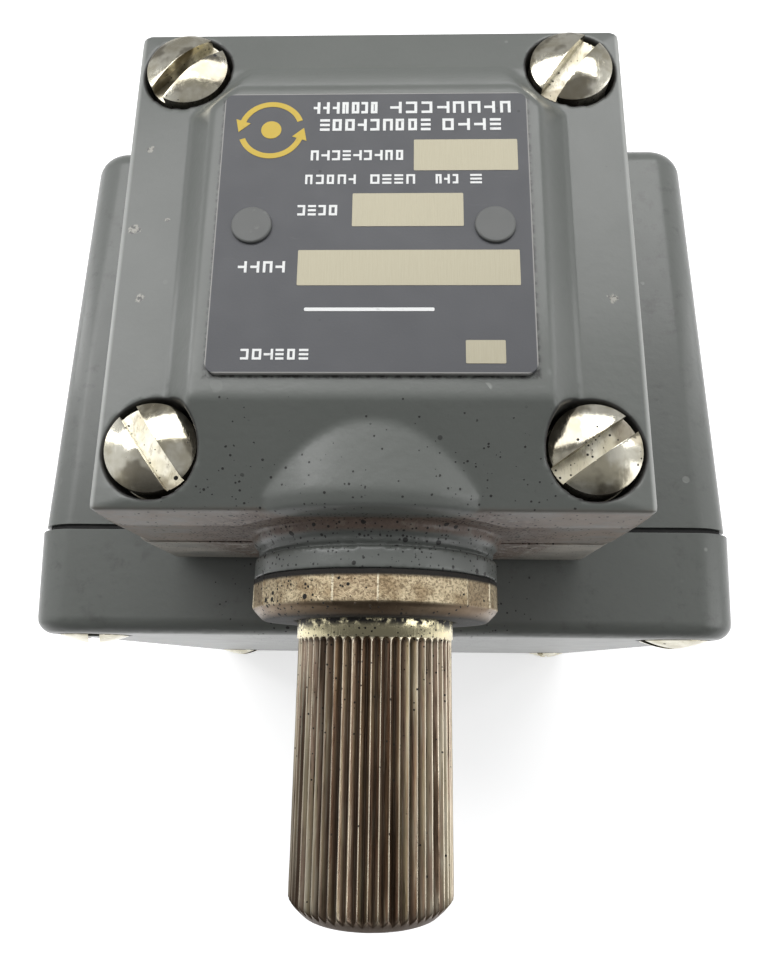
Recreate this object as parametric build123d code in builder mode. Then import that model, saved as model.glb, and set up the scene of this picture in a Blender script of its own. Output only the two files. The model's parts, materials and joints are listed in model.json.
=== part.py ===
from build123d import *
from math import pi, cos, sin, radians, sqrt
import os

os.makedirs("parts", exist_ok=True)

# Heavy-duty limit switch with a rotary, spring-centred operating head.
# Millimetres. +X right, -Y out of the front (the way the shaft points), +Z up.
# The origin is the middle of the four mounting holes, on the flat back of the enclosure.

# ---------------------------------------------------------------- enclosure
body_width = 106.0          # at the gasket
body_back_width = 103.4     # the sides draw in towards the back
body_height = 121.0
body_depth = 67.6
body_edge_r = 6.5           # long edges, top and bottom
body_back_r = 4.2           # edges round the flat back
side_wall = 6.0
top_wall = 10.0
back_wall = 7.6
cavity_r = 4.0
body_top = body_height / 2
body_floor = -body_height / 2

gasket_thick = 0.8
gasket_inset = 0.4          # the gasket stands back from the castings
cover_lip = 0.6             # how much wider than the body the cover is
cover_depth = 15.3
cover_draw = 1.2            # how much narrower the cover is at its front
cover_edge_r = 2.6
cover_well_depth = 3.4      # wells for the cover screws
cover_wall = 4.2
cover_screw_x = 45.0
cover_screw_z = 52.0
cover_post_r = 6.5

# ---------------------------------------------------------------- mounting
mount_spacing_x = 76.2
mount_spacing_z = 88.9
mount_hole_r = 3.1
mount_hole_depth = 12.0
mount_post_r = 7.0
mount_post_rise = 7.4       # above the inside of the back wall
conduit_r = 12.56           # pitch radius of a 3/4 inch pipe thread
conduit_y = -34.0
conduit_length = 12.0
conduit_bush_r = 15.5
conduit_collar_r = 18.0

# ---------------------------------------------------------------- operating head
head_y = -41.5              # middle of the head, in front of the back face
rim_z = 92.4                # outer edge of the cap's top
cap_width = 60.3
cap_depth = 62.6
cap_corner_r = 1.4
cap_side = 15.7             # height of the cap's side wall, down to the shaft's axis
front_lean = 0.65           # the front wall leans out this far below the rim
front_lean_height = 5.5
plateau_rise = 5.2
plateau_half_x = 18.8
plateau_front = -19.8       # from the middle of the head
plateau_back = 18.5
slope_half_x = 22.5
slope_back = 24.9
flange_rise = 0.9           # at the inner edge of the flat flange
diagonal_top = 24.6         # corners of the plateau are cut across
diagonal_foot = 28.6
base_proud = 0.1            # the head base is this much larger than the cap all round
base_shift = -0.4           # and sits this far to the left of it
base_bottom = 63.1
base_floor = 3.3
pad_rise = 1.8
pad_front = -66.0           # the head overhangs the enclosure in front of its pad
pad_back = -11.0
base_screw_x = 27.7         # screws up into the side walls of the head base
base_screw_y = 14.0
base_screw_r = 2.0
seal_line = 0.6             # thickness of the gasket between cap and base
post_inner_x = 17.5
post_inner_y = 17.5
cavity_half_x = 24.5
cavity_half_y = 24.5
cap_roof = 6.7
head_tap_depth = 10.5       # tapped holes in the head base

screw_x = 23.75
screw_y = 24.6
screw_shift = 0.6           # the four screws stand a little behind the middle of the head
screw_hole_r = 3.4
screw_shank_r = 3.1
screw_head_r = 5.0
screw_well_r = 5.55
screw_well_z = -4.2         # bottom of the screw wells, from the rim
screw_slots = {(-1, 1): 45, (1, 1): 55, (-1, -1): -55, (1, -1): 35}

# ---------------------------------------------------------------- shaft and bearing
axis_z = 76.1
boss_r = 20.5
neck_r = 14.0
collar_r = 15.0
wall_y = head_y - cap_depth / 2
collar_back = head_y - 34.1
collar_front = head_y - 36.4
nut_front = head_y - 41.3
nut_thread_r = 12.0
nut_bore_r = 9.8
nut_bevel = 1.3
nut_flat_r = 14.79          # centre to flat: six narrow flats are left between the turned corners
nut_turn = 6.2              # the nut is tightened this far round, degrees
shaft_r = 9.525             # plain land in front of the nut
relief_r = 9.3              # shaft inside the nut
crest_r = 9.35              # over the serrations
journal_r = 7.2
shoulder_y = head_y - 37.5
serration_back = head_y - 43.3
serration_front = head_y - 71.3
shaft_front = head_y - 72.9
serration_count = 54
running = 0.05
boss_tube_r = 11.5
sleeve_r = 9.9
boss_back = head_y - 13.2
notch_back = -66.4          # where the notch in the base's front wall starts
nut_thread_back = head_y - 30.2
seal_back = head_y - 30.4
seal_front = head_y - 36.6

# ---------------------------------------------------------------- crank and plunger
crank_arm = 5.0
crank_pin_r = 1.5
crank_disc_r = 8.3
crank_front = head_y - 11.8
crank_back = head_y - 5.8
spigot_r = 2.9
yoke_half = 2.5
yoke_half_x = 9.0
yoke_half_z = 6.0
stem_r = 4.0
stem_bottom = 45.0

# ---------------------------------------------------------------- contact block
block_half_x = 24.0
block_low = -23.0
block_high = 33.0
block_front = -50.0
pocket_low = -16.5
pocket_high = 26.5
wing_half_x = 39.5
wing_front = -43.7
tap_offset = 6.6            # from a contact bridge to the fixed contacts each side of it
bridge_levels = (18.2, -8.2)
terminal_levels = [b + s * tap_offset for b in bridge_levels for s in (1, -1)]
terminal_x = 32.0
strip_thick = 1.2
tip_r = 2.0
tip_thick = 0.8
tip_x = 15.0


def facing_front(y, x=0, z=0):
    """A plane square to the shaft at depth y, its X to the right, its Y up, its normal to the front."""
    return Plane(origin=(x, y, z), x_dir=(1, 0, 0), z_dir=(0, -1, 0))


def level(z, x=0, y=0):
    """A level plane at height z."""
    return Plane(origin=(x, y, z))


def turned(plane, outline, mode=Mode.ADD):
    """Turn a closed outline of (radius, height) points about the plane's own normal."""
    with BuildSketch(Plane(origin=plane.origin, x_dir=plane.x_dir, z_dir=-plane.y_dir)) as half:
        with BuildLine():
            Polyline(*outline, close=True)
        make_face()
    revolve(half.sketch, axis=Axis(plane.origin, plane.z_dir), mode=mode)


def ring(plane, inner_r, outer_r, height):
    """A plain ring standing on the plane."""
    turned(plane, [(inner_r, 0), (outer_r, 0), (outer_r, height), (inner_r, height)])


def on_shaft(*outline, mode=Mode.ADD):
    """Turn a closed outline of (radius, y) points about the shaft's axis."""
    with BuildSketch(level(axis_z)) as half:
        with BuildLine():
            Polyline(*outline, close=True)
        make_face()
    revolve(half.sketch, axis=Axis((0, 0, axis_z), (0, 1, 0)), mode=mode)


def slotted_screw(plane, head_r, side, crown, shank_r, shank, slot_w, slot_d, angle=0):
    """A slotted screw with a domed cheese head. The head is seated on the plane."""
    with BuildSketch(Plane(origin=plane.origin, x_dir=plane.x_dir, z_dir=-plane.y_dir)) as half:
        with BuildLine():
            Polyline((0, side + crown), (0, -shank), (shank_r - 0.6, -shank), (shank_r, 0.6 - shank),
                     (shank_r, 0), (head_r, 0), (head_r, side))
            SagittaArc((head_r, side), (0, side + crown), -crown / 6)
        make_face()
    revolve(half.sketch, axis=Axis(plane.origin, plane.z_dir))
    with BuildSketch(plane.offset(side + crown)) as slot:
        Rectangle(3 * head_r, slot_w, rotation=angle)
    extrude(slot.sketch, amount=-slot_d, mode=Mode.SUBTRACT)


def coil_spring(plane, coil_r, wire_r, height, turns):
    """A coil spring standing on the plane."""
    rise = height - 2 * wire_r
    centre = plane.origin + plane.z_dir * wire_r
    with BuildLine():
        path = Helix(rise / turns, rise, coil_r, center=centre)
    with BuildSketch(Plane(origin=path @ 0, z_dir=path % 0)) as wire:
        Circle(wire_r)
    sweep(wire.sketch, path=path, is_frenet=True)


def finish(piece, name):
    """Label one finished piece and write it out."""
    piece.part.label = name
    export_step(piece.part, f"parts/{name}.step")


cover_back_y = -body_depth - gasket_thick
cover_front_y = cover_back_y - cover_depth
cavity_width = body_width - 2 * side_wall
cavity_height = body_height - side_wall - top_wall
cavity_mid = (side_wall - top_wall) / 2
cover_screws_at = [(x, z) for x in (-cover_screw_x, cover_screw_x) for z in (-cover_screw_z, cover_screw_z)]
mounts_at = [(x, z) for x in (-mount_spacing_x / 2, mount_spacing_x / 2)
             for z in (-mount_spacing_z / 2, mount_spacing_z / 2)]
head_screws_at = [(sx * screw_x, head_y + screw_shift + sy * screw_y) for sx, sy in screw_slots]
base_screws_at = [(sx * base_screw_x, head_y + sy * base_screw_y) for sx, sy in screw_slots]
block_screws_at = [(-12.0, (pocket_high + block_high) / 2), (12.0, (pocket_low + block_low) / 2)]
ground_at = (-36.0, -29.5)
cap_bottom = rim_z - cap_side
base_top = cap_bottom - seal_line
pad_top = body_top + pad_rise
stem_hole_r = 12.0

# ---------------------------------------------------------------- enclosure body
with BuildPart() as enclosure_body:
    with BuildSketch(facing_front(0)):
        RectangleRounded(body_back_width, body_height, body_edge_r)
    with BuildSketch(facing_front(-body_depth)):
        RectangleRounded(body_width, body_height, body_edge_r)
    loft()
    fillet(enclosure_body.faces().sort_by(Axis.Y)[-1].edges(), body_back_r)
    with BuildSketch(level(body_top - 1, y=(pad_front + pad_back) / 2)):
        RectangleRounded(cap_width, pad_back - pad_front, cap_corner_r)
    extrude(amount=pad_rise + 1)
    with BuildSketch(facing_front(-back_wall)):
        with Locations((0, cavity_mid)):
            RectangleRounded(cavity_width, cavity_height, cavity_r)
    extrude(amount=body_depth, mode=Mode.SUBTRACT)
    with BuildSketch(facing_front(-back_wall + 1)):      # posts for the cover screws
        with Locations(*cover_screws_at):
            Circle(cover_post_r)
    extrude(amount=body_depth - back_wall + 1)
    with BuildSketch(facing_front(-back_wall + 1)):      # posts behind the mounting holes
        with Locations(*mounts_at):
            Circle(mount_post_r)
    extrude(amount=mount_post_rise + 1)
    with BuildSketch(level(body_floor, y=conduit_y)):
        Circle(conduit_bush_r)
    extrude(amount=conduit_length, mode=Mode.SUBTRACT)
    with BuildSketch(facing_front(0)):
        with Locations(*mounts_at):
            Circle(mount_hole_r)
    extrude(amount=mount_hole_depth, mode=Mode.SUBTRACT)
    with BuildSketch(facing_front(-body_depth)):
        with Locations(*cover_screws_at):
            Circle(screw_shank_r + running)
    extrude(amount=-16, mode=Mode.SUBTRACT)
    with BuildSketch(facing_front(-back_wall)):
        with Locations(*block_screws_at, ground_at):
            Circle(2.05)
    extrude(amount=-4.8, mode=Mode.SUBTRACT)
    with BuildSketch(level(pad_top, y=head_y)):
        Circle(stem_hole_r)
    extrude(amount=-top_wall - pad_rise - 1, mode=Mode.SUBTRACT)
    with BuildSketch(level(pad_top)):
        with Locations(*base_screws_at):
            Circle(base_screw_r + 0.2)
    extrude(amount=-top_wall - pad_rise - 1, mode=Mode.SUBTRACT)
finish(enclosure_body, "enclosure_body")

with BuildPart() as conduit_bushing:
    turned(level(body_floor, y=conduit_y),
           [(conduit_r, 0), (conduit_bush_r, 0), (conduit_bush_r, side_wall), (conduit_collar_r, side_wall),
            (conduit_collar_r, conduit_length), (conduit_r, conduit_length)])
finish(conduit_bushing, "conduit_bushing")

# ---------------------------------------------------------------- enclosure cover
cover_width = body_width + cover_lip
cover_height = body_height + cover_lip / 2
with BuildPart() as enclosure_cover:
    with BuildSketch(facing_front(cover_back_y, z=cover_lip / 4)):
        RectangleRounded(cover_width, cover_height, body_edge_r)
    with BuildSketch(facing_front(cover_front_y, z=cover_lip / 4)):
        RectangleRounded(cover_width - cover_draw, cover_height - cover_draw, body_edge_r)
    loft()
    fillet(enclosure_cover.faces().sort_by(Axis.Y)[0].edges(), cover_edge_r)
    with BuildSketch(facing_front(cover_back_y)):
        with Locations((0, cavity_mid)):
            RectangleRounded(cavity_width, cavity_height, cavity_r)
    extrude(amount=cover_depth - cover_wall, mode=Mode.SUBTRACT)
    with BuildSketch(facing_front(cover_back_y)):
        with Locations(*cover_screws_at):
            Circle(cover_post_r)
    extrude(amount=cover_depth - cover_wall + 1)
    with BuildSketch(facing_front(cover_front_y)):
        with Locations(*cover_screws_at):
            Circle(screw_well_r)
    extrude(amount=-cover_well_depth, mode=Mode.SUBTRACT)
    with BuildSketch(facing_front(cover_front_y)):
        with Locations(*cover_screws_at):
            Circle(screw_hole_r)
    extrude(amount=-cover_depth, mode=Mode.SUBTRACT)
finish(enclosure_cover, "enclosure_cover")

with BuildPart() as cover_gasket:
    with BuildSketch(facing_front(-body_depth)):
        RectangleRounded(body_width - 2 * gasket_inset, body_height - 2 * gasket_inset, body_edge_r)
        with Locations((0, cavity_mid)):
            RectangleRounded(cavity_width, cavity_height, cavity_r, mode=Mode.SUBTRACT)
        with Locations(*cover_screws_at):
            Circle(cover_post_r - gasket_inset)
        with Locations(*cover_screws_at):
            Circle(screw_hole_r, mode=Mode.SUBTRACT)
    extrude(amount=gasket_thick)
finish(cover_gasket, "cover_gasket")

with BuildPart() as cover_screw_washers:
    for x, z in cover_screws_at:
        ring(facing_front(cover_front_y + cover_well_depth, x, z), screw_shank_r + 0.1, screw_head_r + 0.2, 0.9)
finish(cover_screw_washers, "cover_screw_washers")

with BuildPart() as cover_screws:
    for turn, (x, z) in enumerate(cover_screws_at):
        slotted_screw(facing_front(cover_front_y + cover_well_depth - 0.9, x, z), screw_head_r, 2.6, 1.2,
                      screw_shank_r, 28.0, 1.6, 2.0, angle=20 + 50 * turn)
finish(cover_screws, "cover_screws")

# ---------------------------------------------------------------- head base
base_width = cap_width + 2 * base_proud
base_depth = cap_depth + 2 * base_proud
with BuildPart() as head_base:
    with BuildSketch(level(base_bottom, base_shift, head_y)):
        RectangleRounded(base_width, base_depth, cap_corner_r + base_proud)
    extrude(amount=base_top - base_bottom)
    with BuildSketch(level(base_bottom + base_floor, y=head_y)):
        Rectangle(2 * cavity_half_x, 2 * post_inner_y)
        Rectangle(2 * post_inner_x, 2 * cavity_half_y)
    extrude(amount=base_top, mode=Mode.SUBTRACT)
    with BuildSketch(facing_front(notch_back, z=axis_z)):    # notch that the cap's boss drops into
        Circle(neck_r + 0.3)
        with Locations((0, 20)):
            Rectangle(2 * neck_r + 0.6, 40)
    extrude(amount=20, mode=Mode.SUBTRACT)
    with BuildSketch(facing_front(boss_back + 1, z=axis_z)):
        Circle(boss_tube_r + 0.3)
    extrude(amount=20, mode=Mode.SUBTRACT)
    with BuildSketch(level(base_top)):
        with Locations(*head_screws_at):
            Circle(screw_shank_r + running)
    extrude(amount=-head_tap_depth, mode=Mode.SUBTRACT)
    with BuildSketch(level(base_bottom)):
        with Locations(*base_screws_at):
            Circle(base_screw_r + running)
    extrude(amount=9, mode=Mode.SUBTRACT)
    with BuildSketch(level(base_bottom, y=head_y)):
        Circle(stem_r + 3)
    extrude(amount=base_floor, mode=Mode.SUBTRACT)
finish(head_base, "head_base")

# ---------------------------------------------------------------- head cap
with BuildPart() as head_cap:
    with BuildSketch(level(cap_bottom, y=head_y)):
        RectangleRounded(cap_width, cap_depth, cap_corner_r)
    extrude(amount=cap_side + plateau_rise)
    half_x = cap_width / 2
    half_y = cap_depth / 2
    with BuildSketch(facing_front(head_y, z=rim_z)):         # fall of the top towards the sides
        with BuildLine():
            Polyline((-half_x, 0), (-slope_half_x, flange_rise), (-plateau_half_x, plateau_rise),
                     (plateau_half_x, plateau_rise), (slope_half_x, flange_rise), (half_x, 0),
                     (half_x, -cap_side), (-half_x, -cap_side), close=True)
        make_face()
    extrude(amount=half_y, both=True, mode=Mode.INTERSECT)
    with BuildSketch(Plane(origin=(0, head_y, rim_z), x_dir=(0, 1, 0), z_dir=(1, 0, 0))):
        with BuildLine():                                    # fall towards the front and the back
            Polyline((-half_y, -front_lean_height), (-half_y + front_lean, 0), (plateau_front, plateau_rise),
                     (plateau_back, plateau_rise), (slope_back, flange_rise), (half_y, 0),
                     (half_y, -cap_side), (-half_y, -cap_side), close=True)
        make_face()
    extrude(amount=half_x, both=True, mode=Mode.INTERSECT)
    for turn in (45, 135):                                   # back corners of the plateau cut across
        across = (cos(radians(turn)), sin(radians(turn)), 0)
        along = (sin(radians(turn)), -cos(radians(turn)), 0)
        with BuildSketch(Plane(origin=(0, head_y, rim_z), x_dir=across, z_dir=along)):
            with BuildLine():
                Polyline((-60, -cap_side), (-60, plateau_rise), (diagonal_top, plateau_rise),
                         (diagonal_foot, flange_rise), (60, flange_rise), (60, -cap_side), close=True)
            make_face()
        extrude(amount=60, both=True, mode=Mode.INTERSECT)
    on_shaft((0, boss_back), (boss_r, boss_back), (boss_r, wall_y + 2), (boss_r - 0.6, wall_y + 0.6),
             (boss_r - 2, wall_y), (0, wall_y))              # boss over the shaft
    with BuildSketch(level(cap_bottom, y=head_y)):           # nothing of the boss below the cap's wall
        Rectangle(100, 100)
    extrude(amount=-40, mode=Mode.SUBTRACT)
    with BuildSketch(level(cap_bottom, y=head_y)):
        Rectangle(2 * cavity_half_x, 2 * post_inner_y)
        Rectangle(2 * post_inner_x, 2 * cavity_half_y)
    extrude(amount=cap_side + plateau_rise - cap_roof, mode=Mode.SUBTRACT)
    on_shaft((0, boss_back), (boss_tube_r, boss_back), (boss_tube_r, notch_back - 0.1),
             (neck_r, notch_back - 0.1), (neck_r, collar_back), (collar_r, collar_back),
             (collar_r, collar_front), (0, collar_front))    # tube that holds the bearing, and its collar
    bead_y = wall_y - base_proud - 0.05
    on_shaft((neck_r - 1, bead_y), (neck_r + 1.4, bead_y), (neck_r + 1.5, bead_y - 0.5),
             (neck_r + 1.1, bead_y - 1.0), (neck_r + 0.3, bead_y - 1.3), (neck_r + 0.7, bead_y - 1.7),
             (neck_r + 0.6, bead_y - 2.1), (neck_r - 1, bead_y - 2.4))   # two ridges in front of the wall
    on_shaft((0, boss_back + 1), (sleeve_r + 0.02, boss_back + 1), (sleeve_r + 0.02, nut_thread_back + 0.2),
             (nut_thread_r + 0.02, nut_thread_back + 0.2), (nut_thread_r + 0.02, collar_front - 1),
             (0, collar_front - 1), mode=Mode.SUBTRACT)
    with BuildSketch(level(rim_z + screw_well_z)):
        with Locations(*head_screws_at):
            Circle(screw_well_r)
    extrude(amount=20, mode=Mode.SUBTRACT)
    with BuildSketch(level(cap_bottom)):
        with Locations(*head_screws_at):
            Circle(screw_hole_r)
    extrude(amount=20, mode=Mode.SUBTRACT)
finish(head_cap, "head_cap")

with BuildPart() as cap_gasket:
    with BuildSketch(level(base_top, y=head_y)):
        RectangleRounded(cap_width - 2 * gasket_inset, cap_depth - 2 * gasket_inset, cap_corner_r)
        Rectangle(2 * cavity_half_x, 2 * post_inner_y, mode=Mode.SUBTRACT)
        Rectangle(2 * post_inner_x, 2 * cavity_half_y, mode=Mode.SUBTRACT)
        with Locations((0, -half_y)):
            Rectangle(2 * neck_r + 0.6, 24, mode=Mode.SUBTRACT)
        with Locations(*[(x, y - head_y) for x, y in head_screws_at]):
            Circle(screw_hole_r, mode=Mode.SUBTRACT)
    extrude(amount=seal_line)
finish(cap_gasket, "cap_gasket")

with BuildPart() as head_gasket:
    with BuildSketch(level(pad_top)):
        with Locations((0, (pad_front + pad_back) / 2)):
            RectangleRounded(cap_width - 2 * gasket_inset, pad_back - pad_front - 2 * gasket_inset, cap_corner_r)
        with Locations((0, head_y)):
            Circle(stem_hole_r, mode=Mode.SUBTRACT)
        with Locations(*base_screws_at):
            Circle(base_screw_r + 0.2, mode=Mode.SUBTRACT)
    extrude(amount=base_bottom - pad_top)
finish(head_gasket, "head_gasket")

with BuildPart() as head_lock_washers:
    for x, y in head_screws_at:
        ring(level(rim_z + screw_well_z, x, y), screw_shank_r + 0.1, screw_head_r + 0.2, 1.0)
finish(head_lock_washers, "head_lock_washers")

with BuildPart() as base_screws:
    for x, y in base_screws_at:
        slotted_screw(Plane(origin=(x, y, body_top - top_wall - 0.05), x_dir=(1, 0, 0), z_dir=(0, 0, -1)),
                      3.6, 1.8, 0.8, base_screw_r, 20.0, 1.2, 1.4, angle=x + y)
finish(base_screws, "base_screws")

with BuildPart() as head_screws:
    for (x, y), slot_turn in zip(head_screws_at, screw_slots.values()):
        slotted_screw(level(rim_z + screw_well_z + 1, x, y), screw_head_r,
                      4.2, 1.2, screw_shank_r, 21.0, 2.1, 2.2, angle=slot_turn)
finish(head_screws, "head_screws")

# ---------------------------------------------------------------- nameplate
plate_size = 34.4
plate_thick = 0.6
plate_y = head_y - 0.3
plateau_z = rim_z + plateau_rise
with BuildPart() as nameplate:
    with BuildSketch(level(plateau_z, y=plate_y)):
        RectangleRounded(plate_size, plate_size, 1.2)
    extrude(amount=plate_thick)
finish(nameplate, "nameplate")

with BuildPart() as nameplate_rivets:
    for x in (-13.2, 13.2):
        turned(level(plateau_z + plate_thick, x, plate_y),
               [(0, 0), (2.2, 0), (2.2, 0.25), (2.05, 0.35), (0, 0.38)])
finish(nameplate_rivets, "nameplate_rivets")

# ---------------------------------------------------------------- bearing and shaft
with BuildPart() as bearing_nut:
    on_shaft((nut_bore_r, nut_thread_back), (nut_thread_r, nut_thread_back), (nut_thread_r, collar_front - 0.02),
             (collar_r, collar_front - 0.02), (collar_r, nut_front + nut_bevel),
             (collar_r - nut_bevel, nut_front), (nut_bore_r, nut_front))
    with BuildSketch(facing_front(nut_thread_back, z=axis_z)):
        RegularPolygon(radius=nut_flat_r, side_count=6, major_radius=False, rotation=nut_turn)
    extrude(amount=nut_thread_back - nut_front, mode=Mode.INTERSECT)
finish(bearing_nut, "bearing_nut")

with BuildPart() as bearing_sleeve:
    ring(facing_front(boss_back, z=axis_z), journal_r + running, sleeve_r, 16.6)
finish(bearing_sleeve, "bearing_sleeve")

with BuildPart() as shaft_seal:
    on_shaft((journal_r + running, seal_back - 1.6), (nut_bore_r - 0.02, seal_back),
             (nut_bore_r - 0.02, seal_front), (journal_r + 1.4, seal_front), (journal_r + running, seal_back - 3))
finish(shaft_seal, "shaft_seal")

with BuildPart() as operating_shaft:
    on_shaft((0, crank_back), (spigot_r, crank_back), (spigot_r, crank_front), (journal_r, crank_front),
             (journal_r, shoulder_y), (relief_r, shoulder_y), (relief_r, nut_front), (shaft_r, nut_front),
             (shaft_r, serration_back), (crest_r, serration_back), (crest_r, shaft_front + 1.5),
             (crest_r - 1.5, shaft_front), (0, shaft_front))
    with BuildSketch(facing_front(serration_back, z=axis_z)):
        with PolarLocations(crest_r, serration_count):
            Triangle(c=2 * crest_r * sin(pi / serration_count) * 0.8, B=45, C=45, rotation=90)
    extrude(amount=serration_back - serration_front, mode=Mode.SUBTRACT)
    with BuildSketch(facing_front(crank_back, z=axis_z)):
        Circle(1.25)
    extrude(amount=8, mode=Mode.SUBTRACT)
finish(operating_shaft, "operating_shaft")

with BuildPart() as thrust_washer:
    ring(facing_front(crank_front - 0.05, z=axis_z), journal_r + 0.1, 9.3, 1.2)
finish(thrust_washer, "thrust_washer")

with BuildPart() as crank_disc:
    with BuildSketch(facing_front(crank_back, z=axis_z)):
        Circle(crank_disc_r)
        Circle(spigot_r + 0.02, mode=Mode.SUBTRACT)
        with Locations((crank_arm, 0)):
            Circle(crank_pin_r, mode=Mode.SUBTRACT)
    extrude(amount=crank_back - crank_front)
finish(crank_disc, "crank_disc")

with BuildPart() as crank_pin:
    with BuildSketch(facing_front(head_y + yoke_half + 0.6, crank_arm, axis_z)):
        Circle(crank_pin_r)
    extrude(amount=yoke_half + 0.6 + 11.5)
    chamfer(crank_pin.edges().sort_by(Axis.Y)[-1], 0.3)
finish(crank_pin, "crank_pin")

with BuildPart() as crank_screw:
    slotted_screw(Plane(origin=(0, crank_back, axis_z), x_dir=(1, 0, 0), z_dir=(0, 1, 0)),
                  3.2, 1.0, 0.5, 1.2, 7.0, 0.8, 0.9)
finish(crank_screw, "crank_screw")

# ---------------------------------------------------------------- plunger
with BuildPart() as yoke_plunger:
    with BuildSketch(facing_front(head_y + yoke_half, z=axis_z)):
        RectangleRounded(2 * yoke_half_x, 2 * yoke_half_z, 1.5)
        with Locations((4.4, 0)):
            Rectangle(6.4, 2 * (crank_pin_r + 0.35), mode=Mode.SUBTRACT)
    extrude(amount=2 * yoke_half)
    with BuildSketch(level(axis_z - yoke_half_z + 1, y=head_y)):
        Circle(stem_r)
        Rectangle(2 * stem_r + 2, 2 * yoke_half, mode=Mode.INTERSECT)
    extrude(amount=-2)
    with BuildSketch(level(axis_z - yoke_half_z, y=head_y)):
        Circle(stem_r)
    extrude(amount=stem_bottom - axis_z + yoke_half_z)
finish(yoke_plunger, "yoke_plunger")

collar_z = 46.2
with BuildPart() as spring_collar:
    ring(level(collar_z, y=head_y), stem_r + 0.02, 7.2, 1.8)
finish(spring_collar, "spring_collar")

guide_bottom = base_bottom - 2.1
with BuildPart() as plunger_guide:
    turned(level(guide_bottom, y=head_y),
           [(stem_r + running, 0), (10, 0), (10, 2.1), (stem_r + 2.98, 2.1), (stem_r + 2.98, 5.4), (stem_r + running, 5.4)])
finish(plunger_guide, "plunger_guide")

with BuildPart() as plunger_seal:
    turned(level(guide_bottom - 2.2, y=head_y),
           [(stem_r + 0.1, 0.7), (stem_r + 1, 0), (9.0, 0), (9.0, 2.1), (stem_r + 0.1, 2.1)])
finish(plunger_seal, "plunger_seal")

with BuildPart() as lower_centring_spring:
    coil_spring(level(collar_z + 1.9, y=head_y), 5.8, 0.45, guide_bottom - 2.3 - collar_z - 1.9, 5)
finish(lower_centring_spring, "lower_centring_spring")

with BuildPart() as upper_centring_spring:
    coil_spring(level(axis_z + yoke_half_z + 0.1, y=head_y), 3.6, 0.4,
                plateau_z - cap_roof - axis_z - yoke_half_z - 0.2, 4)
finish(upper_centring_spring, "upper_centring_spring")

# ---------------------------------------------------------------- contact block
carrier_x = 4.7
carrier_y = 3.7
guide_gap = 0.3
block_mid = (block_low + block_high) / 2
block_tall = block_high - block_low
with BuildPart() as contact_block_base:
    with BuildSketch(facing_front(-back_wall)):
        with Locations((0, block_mid)):
            Rectangle(2 * block_half_x, block_tall)
    extrude(amount=-block_front - back_wall)
    with BuildSketch(facing_front(-back_wall)):
        with Locations((0, block_mid)):
            Rectangle(2 * wing_half_x, block_tall)
    extrude(amount=-wing_front - back_wall)
    with BuildSketch(facing_front(wing_front)):              # barriers between the terminals
        for side in (-1, 1):
            with Locations(*[(side * (block_half_x + wing_half_x) / 2, z)
                             for z in [(a + b) / 2 for a, b in zip(terminal_levels, terminal_levels[1:])]]):
                Rectangle(wing_half_x - block_half_x, 1.4)
    extrude(amount=5.5)
    with BuildSketch(facing_front(-33)):                     # pocket for the contact bridges
        with Locations((0, (pocket_low + pocket_high) / 2)):
            Rectangle(2 * 20.5, pocket_high - pocket_low)
    extrude(amount=30, mode=Mode.SUBTRACT)
    with BuildSketch(level(block_low, y=head_y)):            # slideway for the carrier
        Rectangle(2 * (carrier_x + guide_gap), 2 * (carrier_y + guide_gap))
    extrude(amount=block_tall, mode=Mode.SUBTRACT)
    with BuildSketch(facing_front(-37.8)):                   # slots for the fixed contact strips
        with Locations(*[(side * 22.3, z) for side in (-1, 1) for z in terminal_levels]):
            Rectangle(3.7, strip_thick + 0.2)
    extrude(amount=20, mode=Mode.SUBTRACT)
    with BuildSketch(facing_front(wing_front)):
        with Locations(*[(side * terminal_x, z) for side in (-1, 1) for z in terminal_levels]):
            Circle(1.9)
    extrude(amount=-9, mode=Mode.SUBTRACT)
    with BuildSketch(facing_front(0)):
        with Locations(*block_screws_at):
            Circle(2.2)
    extrude(amount=60, mode=Mode.SUBTRACT)
finish(contact_block_base, "contact_block_base")

with BuildPart() as contact_block_cover:
    with BuildSketch(facing_front(block_front - 0.05)):
        with Locations((0, block_mid)):
            RectangleRounded(2 * block_half_x, block_tall, 1)
        with Locations(*block_screws_at):
            Circle(2.2, mode=Mode.SUBTRACT)
    extrude(amount=3)
    chamfer(contact_block_cover.faces().sort_by(Axis.Y)[0].outer_wire().edges(), 0.8)
finish(contact_block_cover, "contact_block_cover")

with BuildPart() as contact_block_screws:
    for x, z in block_screws_at:
        slotted_screw(facing_front(block_front - 3.05, x, z), 3.6, 1.8, 0.8, 2.0, 49.6, 1.2, 1.4, angle=30)
finish(contact_block_screws, "contact_block_screws")

with BuildPart() as contact_carrier:
    with BuildSketch(level(block_low - 6, y=head_y)):
        RectangleRounded(2 * carrier_x, 2 * carrier_y, 0.8)
    extrude(amount=stem_bottom - 0.3 - block_low + 6)
    for bridge_z in bridge_levels:                           # a window for each contact bridge
        with BuildSketch(Plane(origin=(0, head_y, bridge_z + 3.4), x_dir=(0, 1, 0), z_dir=(1, 0, 0))):
            Rectangle(5.4, 8.0)
        extrude(amount=carrier_x, both=True, mode=Mode.SUBTRACT)
finish(contact_carrier, "contact_carrier")

for name, bridge_z in zip(("upper", "lower"), bridge_levels):
    with BuildPart() as contact_bridge:
        with BuildSketch(level(bridge_z - 0.5, y=head_y)):
            RectangleRounded(34, 5, 1.2)
        extrude(amount=1.0)
    finish(contact_bridge, f"{name}_contact_bridge")
    with BuildPart() as bridge_spring:
        coil_spring(level(bridge_z + 0.6, y=head_y), 1.8, 0.3, 6.6, 5)
    finish(bridge_spring, f"{name}_bridge_spring")

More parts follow.
